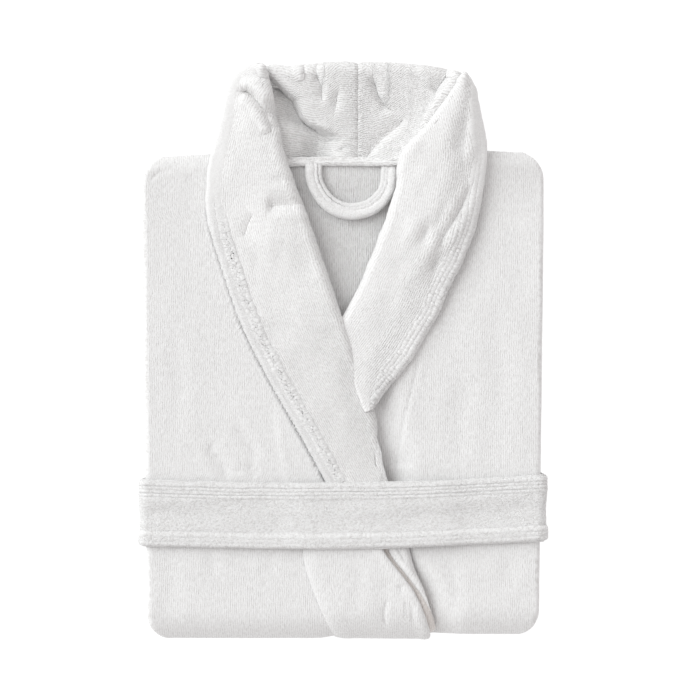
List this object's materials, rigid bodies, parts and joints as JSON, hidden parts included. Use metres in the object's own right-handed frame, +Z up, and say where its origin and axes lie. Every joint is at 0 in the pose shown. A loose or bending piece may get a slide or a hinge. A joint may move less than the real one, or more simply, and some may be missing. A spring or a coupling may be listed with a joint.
{
  "type": "folded bathrobe",
  "caption": "Folded white terry bathrobe with a shawl collar, a hanger loop at the neck and its belt wound round the bundle.",
  "frame": {"origin": "on the table under the middle of the folded bundle, belt and collar included", "axes": "+Z up from the table through the stack of cloth, +Y from the bottom fold towards the collar, +X towards the wearer's left side"},
  "size_m": [0.3604, 0.508, 0.067],
  "materials": {
    "velour": "sheared cotton velour, fine lengthwise ribs, matt",
    "loop_terry": "uncut cotton terry loops, matt",
    "binding": "terry band with rows of topstitching",
    "belt_terry": "cotton terry strip with stitched edges"
  },
  "bodies": {
    "robe": {"back_panel": "loop_terry", "right_front_panel": "velour", "left_front_panel": "velour", "right_sleeve": "velour", "left_sleeve": "velour", "right_cuff": "velour", "left_cuff": "velour", "right_collar_half": "velour", "left_collar_half": "velour", "under_collar": "loop_terry", "neck_tape": "binding", "right_lapel_roll": "velour", "right_front_facing": "velour", "left_lapel_roll": "velour", "left_front_facing": "velour", "right_belt_loop": "binding", "left_belt_loop": "binding", "right_pocket": "velour", "left_pocket": "velour"},
    "right_lapel_flap": {"right_lapel": "velour", "right_lapel_binding": "binding"},
    "left_lapel_flap": {"left_lapel": "velour", "left_lapel_binding": "binding"},
    "loop": {"hanger_loop": "binding"},
    "belt_ring": {"belt": "belt_terry"}
  },
  "joints": [
    {"name": "right_lapel_lift", "type": "hinge", "parent": "robe", "child": "right_lapel_flap", "pos_m": [-0.014, -0.116, 0.062], "axis": [-0.1743, 0.9847, 0], "range_deg": [0, 85]},
    {"name": "left_lapel_lift", "type": "hinge", "parent": "robe", "child": "left_lapel_flap", "pos_m": [0.027, -0.05, 0.062], "axis": [-0.2349, -0.972, 0], "range_deg": [0, 85]},
    {"name": "hanger_loop_swing", "type": "hinge", "parent": "robe", "child": "loop", "pos_m": [0.0075, 0.163, 0.0525], "axis": [-1, 0, 0], "range_deg": [0, 150]},
    {"name": "belt_slide", "type": "slide", "parent": "robe", "child": "belt_ring", "axis": [0, -1, 0], "range_m": [0, 0.142]}
  ]
}
